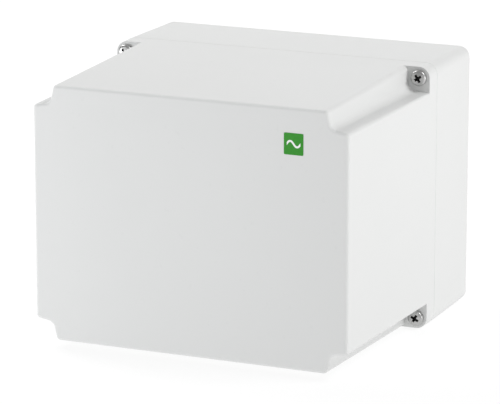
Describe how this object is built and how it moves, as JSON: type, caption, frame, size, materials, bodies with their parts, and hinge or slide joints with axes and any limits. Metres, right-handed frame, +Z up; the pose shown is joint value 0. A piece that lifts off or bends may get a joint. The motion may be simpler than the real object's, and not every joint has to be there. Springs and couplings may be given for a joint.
{
  "type": "electrical junction box",
  "caption": "Deep surface-mounted junction box: shallow base, tall screw-on cover with corner screw channels, seal, and a rail of screw terminals inside.",
  "frame": {"origin": "centre of the back face, where the box meets the wall", "axes": "X to the right as seen from the front, +Y into the wall, +Z up; the cover faces -Y"},
  "size_m": [0.172, 0.1581, 0.135],
  "materials": {
    "enclosure_grey": "satin, fine moulded texture",
    "seal_rubber": "matte",
    "brass_plain": "turned",
    "bar_brass": "stamped",
    "badge_green": "printed film",
    "screw_steel": "zinc plated",
    "zinc_steel": "zinc plated",
    "nylon_white": "moulded",
    "terminal_grey": "moulded",
    "terminal_blue": "moulded",
    "terminal_green_yellow": "moulded",
    "marker_white": "moulded"
  },
  "bodies": {
    "base": {"base_shell": "enclosure_grey", "cover_screw_inserts": "brass_plain", "din_rail": "zinc_steel", "rail_screws": "screw_steel", "end_bracket_left": "terminal_grey", "end_bracket_right": "terminal_grey", "end_bracket_screws": "screw_steel", "terminal_housing_phase_a": "terminal_grey", "terminal_housing_phase_b": "terminal_grey", "terminal_housing_phase_c": "terminal_grey", "terminal_housing_neutral": "terminal_blue", "terminal_housing_earth": "terminal_green_yellow", "terminal_end_plate": "terminal_grey", "current_bars": "bar_brass", "earth_foot": "bar_brass", "terminal_markers": "marker_white"},
    "cover": {"cover_shell": "enclosure_grey", "cover_gasket": "seal_rubber", "front_badge": "badge_green"},
    "retainer_top_left": {"screw_retainer_top_left": "nylon_white"},
    "cover_screw_top_left": {"cover_screw_top_left": "screw_steel"},
    "retainer_top_right": {"screw_retainer_top_right": "nylon_white"},
    "cover_screw_top_right": {"cover_screw_top_right": "screw_steel"},
    "retainer_bottom_left": {"screw_retainer_bottom_left": "nylon_white"},
    "cover_screw_bottom_left": {"cover_screw_bottom_left": "screw_steel"},
    "retainer_bottom_right": {"screw_retainer_bottom_right": "nylon_white"},
    "cover_screw_bottom_right": {"cover_screw_bottom_right": "screw_steel"},
    "clamp_screw_phase_a_upper": {"clamp_screw_phase_a_upper": "screw_steel"},
    "clamp_cage_phase_a_upper": {"clamp_cage_phase_a_upper": "zinc_steel"},
    "clamp_screw_phase_a_lower": {"clamp_screw_phase_a_lower": "screw_steel"},
    "clamp_cage_phase_a_lower": {"clamp_cage_phase_a_lower": "zinc_steel"},
    "clamp_screw_phase_b_upper": {"clamp_screw_phase_b_upper": "screw_steel"},
    "clamp_cage_phase_b_upper": {"clamp_cage_phase_b_upper": "zinc_steel"},
    "clamp_screw_phase_b_lower": {"clamp_screw_phase_b_lower": "screw_steel"},
    "clamp_cage_phase_b_lower": {"clamp_cage_phase_b_lower": "zinc_steel"},
    "clamp_screw_phase_c_upper": {"clamp_screw_phase_c_upper": "screw_steel"},
    "clamp_cage_phase_c_upper": {"clamp_cage_phase_c_upper": "zinc_steel"},
    "clamp_screw_phase_c_lower": {"clamp_screw_phase_c_lower": "screw_steel"},
    "clamp_cage_phase_c_lower": {"clamp_cage_phase_c_lower": "zinc_steel"},
    "clamp_screw_neutral_upper": {"clamp_screw_neutral_upper": "screw_steel"},
    "clamp_cage_neutral_upper": {"clamp_cage_neutral_upper": "zinc_steel"},
    "clamp_screw_neutral_lower": {"clamp_screw_neutral_lower": "screw_steel"},
    "clamp_cage_neutral_lower": {"clamp_cage_neutral_lower": "zinc_steel"},
    "clamp_screw_earth_upper": {"clamp_screw_earth_upper": "screw_steel"},
    "clamp_cage_earth_upper": {"clamp_cage_earth_upper": "zinc_steel"},
    "clamp_screw_earth_lower": {"clamp_screw_earth_lower": "screw_steel"},
    "clamp_cage_earth_lower": {"clamp_cage_earth_lower": "zinc_steel"}
  },
  "joints": [
    {"name": "cover_lift_off", "type": "slide", "parent": "base", "child": "cover", "axis": [0, -1, 0], "range_m": [0, 0.13]},
    {"name": "screw_back_out_top_left", "type": "slide", "parent": "cover", "child": "retainer_top_left", "axis": [0, -1, 0], "range_m": [0, 0.0063]},
    {"name": "screw_turn_top_left", "type": "hinge", "parent": "retainer_top_left", "child": "cover_screw_top_left", "pos_m": [-0.0803, -0.05815, 0.0617], "axis": [0, -1, 0], "range_deg": [0, 3241]},
    {"name": "screw_back_out_top_right", "type": "slide", "parent": "cover", "child": "retainer_top_right", "axis": [0, -1, 0], "range_m": [0, 0.0063]},
    {"name": "screw_turn_top_right", "type": "hinge", "parent": "retainer_top_right", "child": "cover_screw_top_right", "pos_m": [0.0803, -0.05815, 0.0617], "axis": [0, -1, 0], "range_deg": [0, 3241]},
    {"name": "screw_back_out_bottom_left", "type": "slide", "parent": "cover", "child": "retainer_bottom_left", "axis": [0, -1, 0], "range_m": [0, 0.0063]},
    {"name": "screw_turn_bottom_left", "type": "hinge", "parent": "retainer_bottom_left", "child": "cover_screw_bottom_left", "pos_m": [-0.0803, -0.05815, -0.0617], "axis": [0, -1, 0], "range_deg": [0, 3241]},
    {"name": "screw_back_out_bottom_right", "type": "slide", "parent": "cover", "child": "retainer_bottom_right", "axis": [0, -1, 0], "range_m": [0, 0.0063]},
    {"name": "screw_turn_bottom_right", "type": "hinge", "parent": "retainer_bottom_right", "child": "cover_screw_bottom_right", "pos_m": [0.0803, -0.05815, -0.0617], "axis": [0, -1, 0], "range_deg": [0, 3241]},
    {"name": "clamp_turn_phase_a_upper", "type": "hinge", "parent": "base", "child": "clamp_screw_phase_a_upper", "pos_m": [-0.0204, -0.052, 0.013], "axis": [0, 1, 0], "range_deg": [0, 2881]},
    {"name": "cage_rise_phase_a_upper", "type": "slide", "parent": "base", "child": "clamp_cage_phase_a_upper", "axis": [0, -1, 0], "range_m": [0, 0.0056]},
    {"name": "clamp_turn_phase_a_lower", "type": "hinge", "parent": "base", "child": "clamp_screw_phase_a_lower", "pos_m": [-0.0204, -0.052, -0.013], "axis": [0, 1, 0], "range_deg": [0, 2881]},
    {"name": "cage_rise_phase_a_lower", "type": "slide", "parent": "base", "child": "clamp_cage_phase_a_lower", "axis": [0, -1, 0], "range_m": [0, 0.0056]},
    {"name": "clamp_turn_phase_b_upper", "type": "hinge", "parent": "base", "child": "clamp_screw_phase_b_upper", "pos_m": [-0.0102, -0.052, 0.013], "axis": [0, 1, 0], "range_deg": [0, 2881]},
    {"name": "cage_rise_phase_b_upper", "type": "slide", "parent": "base", "child": "clamp_cage_phase_b_upper", "axis": [0, -1, 0], "range_m": [0, 0.0056]},
    {"name": "clamp_turn_phase_b_lower", "type": "hinge", "parent": "base", "child": "clamp_screw_phase_b_lower", "pos_m": [-0.0102, -0.052, -0.013], "axis": [0, 1, 0], "range_deg": [0, 2881]},
    {"name": "cage_rise_phase_b_lower", "type": "slide", "parent": "base", "child": "clamp_cage_phase_b_lower", "axis": [0, -1, 0], "range_m": [0, 0.0056]},
    {"name": "clamp_turn_phase_c_upper", "type": "hinge", "parent": "base", "child": "clamp_screw_phase_c_upper", "pos_m": [0, -0.052, 0.013], "axis": [0, 1, 0], "range_deg": [0, 2881]},
    {"name": "cage_rise_phase_c_upper", "type": "slide", "parent": "base", "child": "clamp_cage_phase_c_upper", "axis": [0, -1, 0], "range_m": [0, 0.0056]},
    {"name": "clamp_turn_phase_c_lower", "type": "hinge", "parent": "base", "child": "clamp_screw_phase_c_lower", "pos_m": [0, -0.052, -0.013], "axis": [0, 1, 0], "range_deg": [0, 2881]},
    {"name": "cage_rise_phase_c_lower", "type": "slide", "parent": "base", "child": "clamp_cage_phase_c_lower", "axis": [0, -1, 0], "range_m": [0, 0.0056]},
    {"name": "clamp_turn_neutral_upper", "type": "hinge", "parent": "base", "child": "clamp_screw_neutral_upper", "pos_m": [0.0102, -0.052, 0.013], "axis": [0, 1, 0], "range_deg": [0, 2881]},
    {"name": "cage_rise_neutral_upper", "type": "slide", "parent": "base", "child": "clamp_cage_neutral_upper", "axis": [0, -1, 0], "range_m": [0, 0.0056]},
    {"name": "clamp_turn_neutral_lower", "type": "hinge", "parent": "base", "child": "clamp_screw_neutral_lower", "pos_m": [0.0102, -0.052, -0.013], "axis": [0, 1, 0], "range_deg": [0, 2881]},
    {"name": "cage_rise_neutral_lower", "type": "slide", "parent": "base", "child": "clamp_cage_neutral_lower", "axis": [0, -1, 0], "range_m": [0, 0.0056]},
    {"name": "clamp_turn_earth_upper", "type": "hinge", "parent": "base", "child": "clamp_screw_earth_upper", "pos_m": [0.0204, -0.052, 0.013], "axis": [0, 1, 0], "range_deg": [0, 2881]},
    {"name": "cage_rise_earth_upper", "type": "slide", "parent": "base", "child": "clamp_cage_earth_upper", "axis": [0, -1, 0], "range_m": [0, 0.0056]},
    {"name": "clamp_turn_earth_lower", "type": "hinge", "parent": "base", "child": "clamp_screw_earth_lower", "pos_m": [0.0204, -0.052, -0.013], "axis": [0, 1, 0], "range_deg": [0, 2881]},
    {"name": "cage_rise_earth_lower", "type": "slide", "parent": "base", "child": "clamp_cage_earth_lower", "axis": [0, -1, 0], "range_m": [0, 0.0056]}
  ],
  "couplings": [
    {"joint": "screw_turn_top_left", "follows": "screw_back_out_top_left", "rad_per_m": 8976},
    {"joint": "screw_turn_top_right", "follows": "screw_back_out_top_right", "rad_per_m": 8976},
    {"joint": "screw_turn_bottom_left", "follows": "screw_back_out_bottom_left", "rad_per_m": 8976},
    {"joint": "screw_turn_bottom_right", "follows": "screw_back_out_bottom_right", "rad_per_m": 8976},
    {"joint": "clamp_turn_phase_a_upper", "follows": "cage_rise_phase_a_upper", "rad_per_m": 8976},
    {"joint": "clamp_turn_phase_a_lower", "follows": "cage_rise_phase_a_lower", "rad_per_m": 8976},
    {"joint": "clamp_turn_phase_b_upper", "follows": "cage_rise_phase_b_upper", "rad_per_m": 8976},
    {"joint": "clamp_turn_phase_b_lower", "follows": "cage_rise_phase_b_lower", "rad_per_m": 8976},
    {"joint": "clamp_turn_phase_c_upper", "follows": "cage_rise_phase_c_upper", "rad_per_m": 8976},
    {"joint": "clamp_turn_phase_c_lower", "follows": "cage_rise_phase_c_lower", "rad_per_m": 8976},
    {"joint": "clamp_turn_neutral_upper", "follows": "cage_rise_neutral_upper", "rad_per_m": 8976},
    {"joint": "clamp_turn_neutral_lower", "follows": "cage_rise_neutral_lower", "rad_per_m": 8976},
    {"joint": "clamp_turn_earth_upper", "follows": "cage_rise_earth_upper", "rad_per_m": 8976},
    {"joint": "clamp_turn_earth_lower", "follows": "cage_rise_earth_lower", "rad_per_m": 8976}
  ]
}
